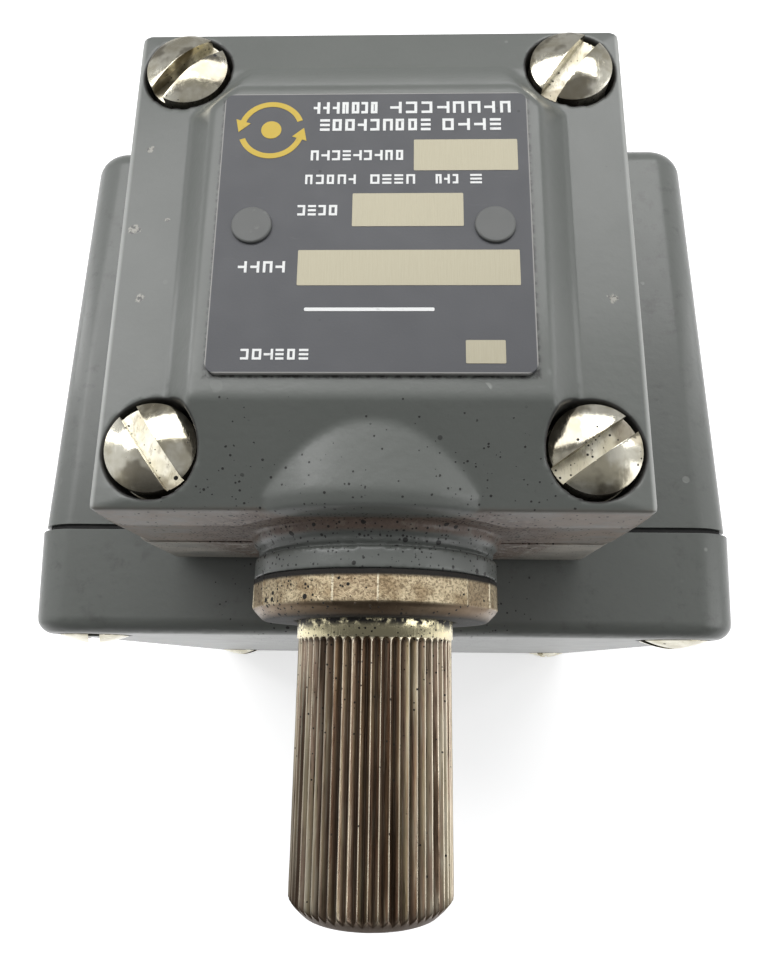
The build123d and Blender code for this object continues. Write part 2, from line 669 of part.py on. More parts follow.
with BuildPart() as bridge_tips:
    for bridge_z in bridge_levels:
        for x in (-tip_x, tip_x):
            ring(level(bridge_z + 0.5, x, head_y), 0, tip_r, tip_thick)
            ring(level(bridge_z - 0.5 - tip_thick, x, head_y), 0, tip_r, tip_thick)
finish(bridge_tips, "bridge_tips")

strip_front = wing_front - 0.1 - strip_thick
for side, side_name in ((-1, "left"), (1, "right")):
    with BuildPart() as fixed_contacts:
        for z in terminal_levels:
            with BuildSketch(facing_front(-38, z=z)):
                with Locations((side * 18.45, 0)):
                    Rectangle(10.9, strip_thick)
            extrude(amount=-38 - strip_front)
            with BuildSketch(facing_front(strip_front + strip_thick, z=z)):
                with Locations((side * 24.3, 0)):
                    Rectangle(1.6, strip_thick)
                with Locations((side * 31.3, 0)):
                    Rectangle(13.8, 9)
                with Locations((side * terminal_x, 0)):
                    Circle(1.9, mode=Mode.SUBTRACT)
            extrude(amount=strip_thick)
    finish(fixed_contacts, f"{side_name}_fixed_contacts")

with BuildPart() as fixed_contact_tips:
    for bridge_z in bridge_levels:
        for x in (-tip_x, tip_x):
            for up in (1, -1):
                inner = bridge_z + up * (tap_offset - strip_thick / 2)
                ring(level(min(inner, inner - up * tip_thick), x, head_y), 0, tip_r, tip_thick)
finish(fixed_contact_tips, "fixed_contact_tips")

with BuildPart() as terminal_clamps:
    for side in (-1, 1):
        for z in terminal_levels:
            with BuildSketch(facing_front(strip_front - 0.02, z=z)):
                with Locations((side * terminal_x, 0)):
                    RectangleRounded(9.5, 8.4, 1)
                    Circle(1.8, mode=Mode.SUBTRACT)
            extrude(amount=1.1)
finish(terminal_clamps, "terminal_clamps")

with BuildPart() as terminal_screws:
    for side in (-1, 1):
        for z in terminal_levels:
            slotted_screw(facing_front(strip_front - 1.15, side * terminal_x, z), 3.3, 1.6, 0.7, 1.7, 9.5,
                          0.9, 1.2, angle=7 * z)
finish(terminal_screws, "terminal_screws")

with BuildPart() as ground_washer:
    ring(facing_front(-back_wall, ground_at[0], ground_at[1]), 2.1, 4.6, 0.8)
finish(ground_washer, "ground_washer")

with BuildPart() as ground_screw:
    slotted_screw(facing_front(-back_wall - 0.85, ground_at[0], ground_at[1]), 3.8, 2.0, 0.8, 2.0, 5.2, 1.0, 1.4)
finish(ground_screw, "ground_screw")
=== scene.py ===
import json
import math
import random

import bmesh
import bpy
from mathutils import Matrix, Vector, noise


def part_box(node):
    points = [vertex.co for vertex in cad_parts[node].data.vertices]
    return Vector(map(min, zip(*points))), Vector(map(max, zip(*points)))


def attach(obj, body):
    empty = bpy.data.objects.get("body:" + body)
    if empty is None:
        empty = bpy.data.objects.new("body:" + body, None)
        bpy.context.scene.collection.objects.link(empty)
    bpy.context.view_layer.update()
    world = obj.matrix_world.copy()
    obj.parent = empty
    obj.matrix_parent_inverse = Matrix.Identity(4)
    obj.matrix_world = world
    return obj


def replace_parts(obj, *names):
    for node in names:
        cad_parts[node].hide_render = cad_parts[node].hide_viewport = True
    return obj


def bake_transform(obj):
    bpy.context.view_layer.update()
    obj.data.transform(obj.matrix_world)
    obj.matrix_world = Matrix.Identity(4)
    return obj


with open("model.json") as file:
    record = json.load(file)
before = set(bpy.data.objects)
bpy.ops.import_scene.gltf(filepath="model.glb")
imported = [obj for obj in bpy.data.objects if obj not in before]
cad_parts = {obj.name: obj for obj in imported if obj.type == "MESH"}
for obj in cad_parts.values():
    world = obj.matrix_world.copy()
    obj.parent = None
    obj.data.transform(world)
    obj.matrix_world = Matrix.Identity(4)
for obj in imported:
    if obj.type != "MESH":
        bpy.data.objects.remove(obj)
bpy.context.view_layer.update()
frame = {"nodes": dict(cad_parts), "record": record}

# Limit switch with a rotary operating head. Metres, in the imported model's frame:
# +X right, -Y out of the front along the operating shaft, +Z up through the head.
MM = 0.001

# ------------------------------------------------------------------ places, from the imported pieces
nodes = frame["nodes"]
gasket_low, gasket_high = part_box("cap_gasket")
plate_low, plate_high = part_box("nameplate")
shaft_low, shaft_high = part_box("operating_shaft")
nut_low, nut_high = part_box("bearing_nut")
cap_low, cap_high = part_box("head_cap")
body_low, body_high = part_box("enclosure_body")

head = (gasket_low + gasket_high) / 2
plate = (plate_low + plate_high) / 2
rim_z = gasket_high.z + 15.7 * MM
wall_y = head.y - (cap_high.y - head.y)
shaft_axis = Vector((0, 0, (shaft_low.z + shaft_high.z) / 2))
shaft_r = (shaft_high.x - shaft_low.x) / 2
nut_r = (nut_high.x - nut_low.x) / 2
crest_r = shaft_r - 0.175 * MM
nut_flat_at = -6.2
well_low, well_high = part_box("head_lock_washers")
well_middle_y = (well_low.y + well_high.y) / 2
washer_r = 5.2 * MM


# ------------------------------------------------------------------ finishes
class Signal:
    """One value on its way through a finish's nodes. Sums and products of signals add the nodes that make them."""

    def __init__(self, finish, socket):
        self.finish, self.socket = finish, socket

    def maths(self, operation, *others, first=None):
        values = [first if first is not None else self, *others]
        if first is not None:
            values.append(self)
        return self.finish.node("ShaderNodeMath", {"operation": operation}, dict(enumerate(values)))

    def __add__(self, other):
        return self.maths("ADD", other)

    def __sub__(self, other):
        return self.maths("SUBTRACT", other)

    def __mul__(self, other):
        return self.maths("MULTIPLY", other)

    def __truediv__(self, other):
        return self.maths("DIVIDE", other)

    def __rsub__(self, other):
        return self.maths("SUBTRACT", first=other)

    def __rtruediv__(self, other):
        return self.maths("DIVIDE", first=other)

    __radd__ = __add__
    __rmul__ = __mul__

    def __pow__(self, power):
        return self.maths("POWER", power)

    def __abs__(self):
        return self.maths("ABSOLUTE")

    def least(self, other):
        return self.maths("MINIMUM", other)

    def most(self, other):
        return self.maths("MAXIMUM", other)

    def over(self, start, end):
        """0 below start, 1 above end, smooth between; start may be the larger."""
        return self.finish.node("ShaderNodeMapRange", {"interpolation_type": "SMOOTHSTEP", "clamp": True},
                                {"Value": self, "From Min": start, "From Max": end})

    def vector(self, operation, *others, out=0):
        return self.finish.node("ShaderNodeVectorMath", {"operation": operation},
                                dict(enumerate([self, *others])), out=out)

    def parts(self):
        return [self.finish.node("ShaderNodeSeparateXYZ", {}, {0: self}, out=n) for n in range(3)]


class Nodes:
    """A node tree being built up."""

    def __init__(self, tree):
        self.tree = tree

    def node(self, kind, settings=None, values=None, out=0):
        made = self.tree.nodes.new(kind)
        for key, value in (settings or {}).items():
            if key == "stops":
                ramp = made.color_ramp.elements
                while len(ramp) < len(value):
                    ramp.new(0.5)
                for stop, (place, colour) in zip(ramp, value):
                    stop.position, stop.color = place, (*colour, 1)
            else:
                setattr(made, key, value)
        for key, value in (values or {}).items():
            self.put(made.inputs[key], value)
        return Signal(self, made.outputs[out])

    def put(self, socket, value):
        if isinstance(value, Signal):
            self.tree.links.new(value.socket, socket)
        elif socket.type == "RGBA" and len(value) == 3:
            socket.default_value = (*value, 1)
        else:
            socket.default_value = value

    def mix(self, mask, low, high):
        """The low colour where the mask is 0, the high one where it is 1."""
        made = self.tree.nodes.new("ShaderNodeMix")
        made.data_type = "RGBA"
        self.put(made.inputs["Factor"], mask)
        self.put([s for s in made.inputs if s.name == "A" and s.type == "RGBA"][0], low)
        self.put([s for s in made.inputs if s.name == "B" and s.type == "RGBA"][0], high)
        return Signal(self, [s for s in made.outputs if s.type == "RGBA"][0])


class Finish(Nodes):
    """A material being built up. All lengths in its nodes are millimetres in the object's rest frame."""

    def __init__(self, name):
        self.material = bpy.data.materials.new(name)
        self.material.use_nodes = True
        super().__init__(self.material.node_tree)
        self.shader = self.tree.nodes["Principled BSDF"]
        place = self.node("ShaderNodeTexCoord", out="Object")
        self.at = place.vector("MULTIPLY", (1 / MM,) * 3)
        self.x, self.y, self.z = self.at.parts()

    def cloud(self, size, detail=3.0, rough=0.55, at=None):
        """Soft noise, 0 to 1, with blotches about that many millimetres across."""
        return self.node("ShaderNodeTexNoise", {"noise_dimensions": "3D"},
                         {"Vector": at or self.at, "Scale": 1 / size, "Detail": detail, "Roughness": rough})

    def stretched(self, x, y, z):
        """The place with each axis divided by that length, for streaks and grain."""
        return self.at.vector("MULTIPLY", (1 / x, 1 / y, 1 / z))

    def specks(self, pitch, share, at=None):
        """Small round dots. share, 0 to 1, says in how many of the cells there is one."""
        settings = {"feature": "F1", "voronoi_dimensions": "3D"}
        values = {"Vector": at or self.at, "Scale": 1 / pitch, "Randomness": 1.0}
        near = self.node("ShaderNodeTexVoronoi", settings, values, out="Distance")
        luck, width, _ = self.node("ShaderNodeTexVoronoi", settings, values, out="Color").parts()
        chosen = (share - luck).over(0.0, 0.02)
        return (width * 0.28 + 0.1 - near).over(-0.04, 0.04) * chosen

    def bump(self, height, depth, before=None):
        """A normal from a height that runs 0 to 1 over that many millimetres."""
        values = {"Height": height, "Distance": depth * MM, "Strength": 1.0}
        if before is not None:
            values["Normal"] = before
        return self.node("ShaderNodeBump", {}, values)

    def set(self, **sockets):
        """Values or signals for the shader's own sockets, with _ for the spaces in their names."""
        for name, value in sockets.items():
            self.put(self.shader.inputs[name.replace("_", " ")], value)
        return self.material


# Chipped paint on the cap: x, y from the middle of the head, and size, in millimetres.
PAINT_CHIPS = ((-27, -6, 0.55), (-28.5, 3, 0.8), (27, -6, 0.6), (-24.5, 4, 0.35), (-27.5, 14, 0.5))


def enamel(name):
    """Grey-green baked enamel on a casting, with shop dirt, and painted light: a highlight along the cap's side
    edges, shade in the screw wells and a lift on the lower front wall.
    """
    f = Finish(name)
    base = f.mix(f.cloud(14, 4), (0.118, 0.127, 0.117), (0.142, 0.151, 0.140))
    base = f.mix(f.cloud(0.7, 2) * 0.25, base, (0.10, 0.108, 0.098))
    pits = f.specks(2.0, 0.02)
    base = f.mix(pits * 0.6, base, (0.30, 0.31, 0.29))
    orange_peel = f.cloud(1.1, 2)
    height = orange_peel - pits * 0.8
    rough = f.cloud(5, 3) * 0.14 + 0.30
    head_y, head_z = f.y - head.y / MM, f.z - rim_z / MM
    up = f.z - shaft_axis.z / MM
    out = (f.x * f.x + up * up) ** 0.5
    front = (f.y * -1 - (-wall_y / MM)).over(-1.2, 0.4)
    over_body = f.z - body_high.z / MM
    mottle = f.cloud(2.6, 6, 0.7).over(0.50, 0.70) * f.cloud(11, 3).over(0.40, 0.60) * over_body.over(0.4, 0.1)
    base = f.mix(mottle * 0.45, base, (0.060, 0.060, 0.055))
    on_wall = abs(f.y - wall_y / MM).over(1.3, 0.7) * over_body.over(0.1, 0.4)
    under = head_z.over(0.6, -0.9)
    stain = f.cloud(5, 5, 0.65, f.stretched(1.6, 1, 0.7)).over(0.34, 0.62)
    brown = on_wall * under * (stain * 0.6 + 0.4) * head_z.over(-48, -20)
    rust_and_painted_light = f.mix(f.cloud(2.2, 5, 0.7), (0.15, 0.105, 0.075), (0.30, 0.245, 0.195))
    # Painted light: below the rim the front wall is lifted towards pale grey, against the cap's shadow, on top of
    # the rust.
    rust_and_painted_light = f.mix(head_z.over(-15, -17) * 0.9, rust_and_painted_light, (0.44, 0.41, 0.36))
    base = f.mix(brown, base, rust_and_painted_light)
    crust = out.over(25, 19.5) * on_wall * under * f.cloud(1.3, 5, 0.7).over(0.36, 0.52)
    base = f.mix(crust * 0.85, base, f.mix(f.cloud(0.4, 4, 0.7), (0.045, 0.028, 0.020), (0.22, 0.15, 0.115)))
    for x, y, size in PAINT_CHIPS:
        off = ((f.x - x) ** 2 + (head_y - y) ** 2) ** 0.5
        chip = (off + f.cloud(0.9, 4, 0.7) * 1.6 - 0.8).over(size, size - 0.25) * head_z.over(-2, -1)
        under_paint = f.mix(f.cloud(0.5, 3).over(0.42, 0.55), (0.05, 0.047, 0.042), (0.46, 0.44, 0.38))
        base = f.mix(chip * 0.6, base, under_paint)
    near_boss = out.over(23, 15) * front
    by_boss = (head_y * -1).over(17, 30) * abs(f.x + 2).over(27, 12)
    dirt = f.specks(0.42, near_boss * 0.34 + by_boss * 0.20 + brown * 0.20 + crust * 0.2 + 0.006)
    coarse = f.specks(0.9, near_boss * 0.16 + by_boss * 0.03 + 0.002)
    black = dirt.most(coarse)
    base = f.mix(black * 0.93, base, (0.012, 0.011, 0.010))
    # Painted highlight: a pale band along the cap's left and right edges just under the rim.
    rub_and_sheen = abs(f.x).over(cap_high.x / MM - 0.75, cap_high.x / MM - 0.2) * head_z.over(-1.3, -0.4)
    base = f.mix(rub_and_sheen * 0.7, base, (0.50, 0.51, 0.49))
    plate_x = abs(f.x - plate.x / MM) - (plate_high.x - plate.x) / MM
    plate_y = abs(f.y - plate.y / MM) - (plate_high.y - plate.y) / MM
    beside = plate_x.most(plate_y).over(0.55, 0.05) * f.cloud(0.8, 4).over(0.38, 0.6)
    well_x = abs(f.x) - (well_high.x - washer_r) / MM
    well_y = abs(f.y - well_middle_y / MM) - (well_high.y - well_middle_y - washer_r) / MM
    from_screw = (well_x * well_x + well_y * well_y) ** 0.5
    # Painted shade: the enamel inside each screw well, around the washer, goes near black.
    well_shade = from_screw.over(5.95, 5.70) * head_z.over(-30, -28)
    base = f.mix(beside.most(well_shade) * 0.92, base, (0.013, 0.012, 0.011))
    rough = rough + brown * 0.25 + black.most(well_shade) * 0.3
    height = height + black * 0.7
    return f.set(Base_Color=base, Roughness=rough, Normal=f.bump(height, 0.035), Coat_Weight=0.25,
                 Coat_Roughness=0.16)


def rubber(name):
    """Black gasket rubber."""
    f = Finish(name)
    dust = f.cloud(3, 4).over(0.55, 0.75)
    colour = f.mix(dust * 0.5, (0.010, 0.010, 0.010), (0.05, 0.047, 0.042))
    return f.set(Base_Color=colour, Roughness=f.cloud(1, 2) * 0.2 + 0.7, Normal=f.bump(f.cloud(0.3, 3), 0.04))


def bright_zinc(name, low=(0.54, 0.50, 0.38), high=(0.76, 0.73, 0.62), slot_z=None):
    """Bright zinc plate with a yellow cast, fine scratches and, below slot_z, dirt in the slot."""
    f = Finish(name)
    colour = f.mix(f.cloud(3.5, 3).over(0.38, 0.62), low, high)
    scratch = f.cloud(1.0, 6, 0.7, f.stretched(0.16, 3.0, 1.0)).over(0.52, 0.74)
    colour = f.mix(scratch * 0.12, colour, (0.45, 0.42, 0.35))
    haze = f.cloud(1.6, 5, 0.65).over(0.52, 0.72)
    rough = haze * 0.12 + scratch * 0.06 + 0.10
    specks = f.specks(0.7, 0.04)
    if slot_z is not None:
        tarnish = f.cloud(4.5, 3, 0.5).over(0.50, 0.60)
        colour = f.mix(tarnish * 0.75, colour, (0.19, 0.165, 0.12))
        deep = (slot_z / MM - f.z).over(0.75, 1.5)
        worn = f.cloud(0.8, 6, 0.75, f.stretched(0.5, 1.6, 1.0)).over(0.50, 0.64)
        colour = f.mix(deep * worn * 0.5, colour, (0.20, 0.165, 0.12))
        rough = rough + deep * 0.28
        specks = specks.most(f.specks(0.4, deep * 0.22))
    colour = f.mix(specks, colour, (0.014, 0.012, 0.010))
    return f.set(Base_Color=colour, Metallic=1 - specks, Roughness=rough + specks * 0.5,
                 Normal=f.bump(f.cloud(0.5, 4) * 0.7 + scratch * 0.3, 0.008))


def plate_enamel(name):
    """Blue-grey anodised nameplate, its cut edge left bare."""
    f = Finish(name)
    edge_x = (plate_high.x - plate.x) / MM - abs(f.x - plate.x / MM)
    edge_y = (plate_high.y - plate.y) / MM - abs(f.y - plate.y / MM)
    edge = edge_x.least(edge_y).over(0.20, 0.05)
    base = f.mix(f.cloud(9, 4), (0.066, 0.068, 0.076), (0.084, 0.086, 0.094))
    scuffs = f.cloud(1.0, 6, 0.7, f.stretched(2.4, 0.5, 1)).over(0.62, 0.8)
    base = f.mix(scuffs * 0.3, base, (0.16, 0.16, 0.17))
    base = f.mix(edge * 0.8, base, (0.45, 0.44, 0.42))
    black = f.specks(0.6, 0.012)
    base = f.mix(black, base, (0.01, 0.01, 0.01))
    return f.set(Base_Color=base, Roughness=f.cloud(3, 4) * 0.15 + 0.42, Normal=f.bump(f.cloud(0.25, 3), 0.010))


def bare_aluminium(name):
    """Bare brushed aluminium showing through the nameplate's print."""
    f = Finish(name)
    grain = f.cloud(1.0, 5, 0.7, f.stretched(0.09, 3.5, 1))
    colour = f.mix(grain, (0.31, 0.285, 0.205), (0.44, 0.41, 0.315))
    return f.set(Base_Color=colour, Metallic=0.55, Roughness=grain * 0.25 + 0.36, Normal=f.bump(grain, 0.02))


def printed(name, colour, worn):
    """Ink printed on the nameplate, a little worn."""
    f = Finish(name)
    rub_and_sheen = f.cloud(1.2, 5, 0.65).over(0.58, 0.78)
    ink = f.mix(rub_and_sheen * 0.6, colour, worn)
    return f.set(Base_Color=ink, Roughness=f.cloud(2, 3) * 0.2 + 0.42, Normal=f.bump(f.cloud(0.3, 3), 0.01))


def nut_bronze(name):
    """Bronze nut: a sandy cast rim with worn flats, and a turned bevel and face darkened as painted shade, black at
    the root of the shaft, with a painted shadow band at its back against the head.
    """
    f = Finish(name)
    up = f.z - shaft_axis.z / MM
    out = (f.x * f.x + up * up) ** 0.5
    turn = f.node("ShaderNodeMath", {"operation": "ARCTAN2"}, {0: f.x, 1: up}) * (180 / math.pi)
    from_flat = abs(f.node("ShaderNodeMath", {"operation": "PINGPONG"}, {0: turn - nut_flat_at, 1: 30.0}))
    turned = (f.y * -1 - (-nut_low.y / MM)).over(-1.50, -1.20).most((nut_r / MM - out).over(0.5, 0.8))
    sand = f.cloud(0.30, 4, 0.7)
    colour = f.mix(f.cloud(3, 4).over(0.35, 0.65), (0.40, 0.305, 0.185), (0.74, 0.63, 0.43))
    colour = f.mix(from_flat.over(9.8, 8.8) * 0.55, colour, (0.34, 0.25, 0.155))
    ridge = abs(from_flat - 9.3).over(0.55, 0.2) * (1 - turned)
    colour = f.mix(ridge * 0.8, colour, (0.90, 0.82, 0.62))
    colour = f.mix(sand.over(0.55, 0.40) * (1 - turned) * 0.7, colour, (0.15, 0.105, 0.062))
    # Painted shade: the turned bevel and face get a dark bronze that stands in for the dark room they reflect.
    colour = f.mix(turned * 0.9, colour, f.mix(f.cloud(2.5, 4), (0.10, 0.066, 0.042), (0.27, 0.195, 0.13)))
    left = f.x.over(4, -10)
    dirt = f.specks(0.42, left * 0.40 + turned * 0.14 + 0.06).most(f.specks(0.8, left * 0.22 + 0.03))
    root = (nut_r / MM - out).over(0.5, 1.7) * turned * f.cloud(1.0, 5, 0.7).over(0.22, 0.42)
    # Painted shadow: a black band round the back of the nut, where it meets the head.
    behind = f.y.over(cap_low.y / MM - 0.95, cap_low.y / MM - 0.55)
    black = dirt.most(root).most(behind)
    colour = f.mix(black, colour, (0.012, 0.010, 0.008))
    return f.set(Base_Color=colour, Metallic=1 - black, Roughness=0.36 + sand * 0.14 - turned * 0.14 + black * 0.4,
                 Normal=f.bump(sand * (1 - turned * 0.93) + black * 0.3, 0.10))


def shaft_zinc(name):
    """Aged yellow zinc plate on the serrated shaft: gold on the land, brown and streaked on the serrations, with
    painted highlights on the crests.
    """
    f = Finish(name)
    up = f.z - shaft_axis.z / MM
    out = (f.x * f.x + up * up) ** 0.5
    turn = f.node("ShaderNodeMath", {"operation": "ARCTAN2"}, {0: f.x, 1: up})
    broad = f.node("ShaderNodeCombineXYZ", {}, {0: turn * 3.2, 1: f.y * 0.03, 2: 0.0})
    wrap = f.node("ShaderNodeCombineXYZ", {}, {0: turn * 13.0, 1: f.y * 0.035, 2: out * 0.2})
    fine = f.node("ShaderNodeCombineXYZ", {}, {0: turn * 42.0, 1: f.y * 0.14, 2: out * 0.6})
    tone, streak, thread = f.cloud(1.0, 3, 0.5, broad), f.cloud(1.0, 5, 0.65, wrap), f.cloud(1.0, 4, 0.6, fine)
    colour = f.node("ShaderNodeValToRGB", {"stops": [
        (0.30, (0.10, 0.068, 0.045)), (0.42, (0.36, 0.25, 0.17)), (0.50, (0.62, 0.45, 0.34)),
        (0.58, (0.60, 0.50, 0.33)), (0.70, (0.90, 0.80, 0.60))]}, {0: streak * 0.75 + tone * 0.30 - 0.02})
    colour = f.mix(thread.over(0.52, 0.66) * 0.75, colour, (0.92, 0.84, 0.66))
    colour = f.mix(thread.over(0.46, 0.32) * 0.75, colour, (0.075, 0.05, 0.034))
    groove = (crest_r / MM - 0.12 - out).over(0.0, 0.60)
    colour = f.mix(groove * 0.90, colour, (0.030, 0.021, 0.014))
    shade = f.x.over(0, -7) * tone.over(0.62, 0.40)
    colour = f.mix(shade * 0.8, colour, (0.075, 0.052, 0.036))
    # Painted highlight: bright streaks along the tooth crests.
    crest_highlight = (crest_r / MM - 0.05 - out).over(0.10, 0.0) * streak.over(0.34, 0.46) * (1 - shade * 0.6)
    colour = f.mix(crest_highlight * 0.85, colour, (0.97, 0.88, 0.70))
    root = f.y - nut_low.y / MM
    land = root.over(-2.35, -1.75) * (1 - groove)
    colour = f.mix(land * 0.95, colour, (0.95, 0.86, 0.55))
    tip = (f.y - shaft_low.y / MM).over(1.9, 0.9)
    colour = f.mix(tip * 0.8, colour, (0.12, 0.085, 0.06))
    soot = root.over(-1.5, -0.2) * f.cloud(1.1, 5, 0.7).over(0.40, 0.54)
    black = f.specks(0.36, root.over(-20, -2) * 0.20 + land * 0.22 + 0.03).most(soot)
    colour = f.mix(black, colour, (0.012, 0.010, 0.008))
    return f.set(Base_Color=colour, Metallic=1 - black * 0.9,
                 Roughness=streak * 0.16 + 0.20 + groove * 0.2 - land * 0.10 + black * 0.3,
                 Normal=f.bump(thread + f.cloud(0.35, 4) * 0.5, 0.035))


def machined(name, low, high, rough=0.26, grain=(2.0, 0.2, 2.0)):
    """Machined or drawn metal, with a faint tool grain and an oily film."""
    f = Finish(name)
    lay = f.cloud(1.0, 4, 0.6, f.stretched(*grain))
    colour = f.mix(lay, low, high)
    film = f.cloud(6, 4).over(0.5, 0.8)
    colour = f.mix(film * 0.3, colour, tuple(c * 0.5 for c in low))
    return f.set(Base_Color=colour, Metallic=1.0, Roughness=lay * 0.12 + rough + film * 0.1,
                 Normal=f.bump(lay, 0.015))


def moulded(name, low, high):
    """Moulded plastic with a fine grain and flow marks."""
    f = Finish(name)
    flow = f.cloud(12, 5, 0.6, f.stretched(1, 2.2, 1))
    grain = f.cloud(0.35, 3)
    colour = f.mix(flow, low, high)
    return f.set(Base_Color=colour, Roughness=grain * 0.18 + 0.42, Normal=f.bump(grain + flow * 0.3, 0.02))


def floor_finish(name):
    """Pale floor that glows: a painted pool of light, bright under the switch and dimmer far out."""
    f = Finish(name)
    tone = f.mix(f.cloud(400, 2), (0.86, 0.86, 0.86), (0.90, 0.90, 0.90))
    far = (f.x * f.x + f.y * f.y) ** 0.5
    # Painted light: the floor's glow is brightest near the switch and fades beyond.
    glow = f.mix(far.over(110, 360), (1.0, 1.0, 1.0), (0.25, 0.25, 0.25))
    return f.set(Base_Color=tone, Roughness=0.9, Emission_Color=glow, Emission_Strength=0.55)


screw_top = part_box("head_screws")[1].z
finishes = {
    "enamel": enamel("grey_green_enamel"),
    "rubber": rubber("gasket_rubber"),
    "zinc": bright_zinc("bright_zinc"),
    "screw_zinc": bright_zinc("slotted_screw_zinc", slot_z=screw_top),
    "plate": plate_enamel("nameplate_anodised"),
    "bare": bare_aluminium("bare_aluminium"),
    "white": printed("white_print", (0.84, 0.85, 0.84), (0.32, 0.33, 0.34)),
    "rivet": printed("painted_rivet", (0.128, 0.132, 0.128), (0.22, 0.22, 0.21)),
    "yellow": printed("yellow_print", (0.62, 0.44, 0.045), (0.30, 0.22, 0.05)),
    "nut": nut_bronze("nut_bronze"),
    "shaft": shaft_zinc("aged_yellow_zinc"),
    "bronze": machined("bearing_bronze", (0.46, 0.30, 0.14), (0.62, 0.44, 0.24), 0.34),
    "steel": machined("machined_steel", (0.38, 0.38, 0.39), (0.56, 0.56, 0.57)),
    "wire": machined("spring_wire", (0.30, 0.30, 0.32), (0.46, 0.46, 0.48), 0.3, (0.3, 0.3, 2.0)),
    "phenolic": moulded("black_phenolic", (0.022, 0.020, 0.019), (0.040, 0.036, 0.034)),
    "nylon": moulded("carrier_nylon", (0.60, 0.57, 0.48), (0.72, 0.69, 0.60)),
    "brass": machined("contact_brass", (0.58, 0.42, 0.18), (0.76, 0.60, 0.30), 0.28),
    "silver": machined("contact_silver", (0.68, 0.67, 0.64), (0.82, 0.81, 0.78), 0.22),
    "green": bright_zinc("green_zinc", (0.03, 0.22, 0.07), (0.06, 0.36, 0.12)),
}


# ------------------------------------------------------------------ meshes
def shown(name, mesh, finish, body="housing", stands_for=(), sharp=None):
    """Puts a mesh into the scene as a piece that rides on a body; a body of None leaves it unattached."""
    piece = bpy.data.objects.new(name, mesh)
    bpy.context.scene.collection.objects.link(piece)
    mesh.materials.clear()
    mesh.materials.append(finishes[finish])
    mesh.polygons.foreach_set("use_smooth", [True] * len(mesh.polygons))
    if sharp is not None:
        mesh.set_sharp_from_angle(angle=math.radians(sharp))
        crisp = piece.modifiers.new("crisp", "WEIGHTED_NORMAL")
        crisp.keep_sharp = True
    if body:
        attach(piece, body)
    if stands_for:
        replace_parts(piece, *stands_for)
    return piece


def welded(node):
    """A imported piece's mesh with its split corners joined again."""
    shell = bmesh.new()
    shell.from_mesh(nodes[node].data)
    bmesh.ops.remove_doubles(shell, verts=shell.verts, dist=1e-6)
    return shell


def eased(node, edge, finish, body):
    """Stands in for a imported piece, with its hard edges eased by that many millimetres."""
    hard_turn = math.radians(28)
    shell = welded(node)
    bmesh.ops.dissolve_limit(shell, angle_limit=math.radians(0.6), verts=shell.verts, edges=shell.edges)
    hard = [e for e in shell.edges if len(e.link_faces) == 2 and e.calc_face_angle(0) > hard_turn]
    bmesh.ops.bevel(shell, geom=hard, offset=edge * MM, segments=2, profile=0.55, affect="EDGES",
                    clamp_overlap=True)
    mesh = bpy.data.meshes.new(f"{node}_eased")
    shell.to_mesh(mesh)
    shell.free()
    return shown(f"{node}_piece", mesh, finish, body, (node,), sharp=40)


def soften_cap():
    """Stands in for the head cap, its edges rounded off as thick enamel leaves them, more so above the rim."""
    node, voxel, passes = "head_cap", 0.28 * MM, 2
    raised_passes, arch_passes = 14, 4
    arch_back = head.y - 17 * MM
    shell = welded(node)
    rough = bpy.data.meshes.new(f"{node}_rough")
    shell.to_mesh(rough)
    shell.free()
    block = bpy.data.objects.new(f"{node}_block", rough)
    bpy.context.scene.collection.objects.link(block)
    grid = block.modifiers.new("grid", "REMESH")
    grid.mode, grid.voxel_size = "VOXEL", voxel
    ease = block.modifiers.new("ease", "SMOOTH")
    ease.factor, ease.iterations = 0.5, passes
    mesh = bpy.data.meshes.new_from_object(block.evaluated_get(bpy.context.evaluated_depsgraph_get()))
    bpy.data.objects.remove(block)
    shell = bmesh.new()
    shell.from_mesh(mesh)
    raised = [v for v in shell.verts if v.co.z > rim_z + 0.9 * MM]
    for turn in range(raised_passes):
        if turn == arch_passes:
            raised = [v for v in raised if v.co.y > arch_back]
        bmesh.ops.smooth_vert(shell, verts=raised, factor=0.5, use_axis_x=True, use_axis_y=True, use_axis_z=True)
    shell.to_mesh(mesh)
    shell.free()
    shown(f"{node}_piece", mesh, "enamel", "housing", (node,))


def skin(rings, closed=False):
    """A mesh from rings of points, each ring closed on itself; closed joins the last ring to the first."""
    shell = bmesh.new()
    rows = [[shell.verts.new(p) for p in ring] for ring in rings]
    pairs = list(zip(rows, rows[1:])) + ([(rows[-1], rows[0])] if closed else [])
    for a, b in pairs:
        for n in range(len(a)):
            m = (n + 1) % len(a)
            shell.faces.new((a[n], a[m], b[m], b[n]))
    if not closed:
        shell.faces.new(list(reversed(rows[0])))
        shell.faces.new(rows[-1])
    bmesh.ops.recalc_face_normals(shell, faces=shell.faces)
    return shell


def as_mesh(name, shell):
    mesh = bpy.data.meshes.new(name)
    shell.to_mesh(mesh)
    shell.free()
    return mesh


def on_shaft(radius, y, turn):
    """A point at that radius and turn about the shaft's axis; turn 0 is straight up."""
    return Vector((radius * math.sin(turn), y, shaft_axis.z + radius * math.cos(turn)))


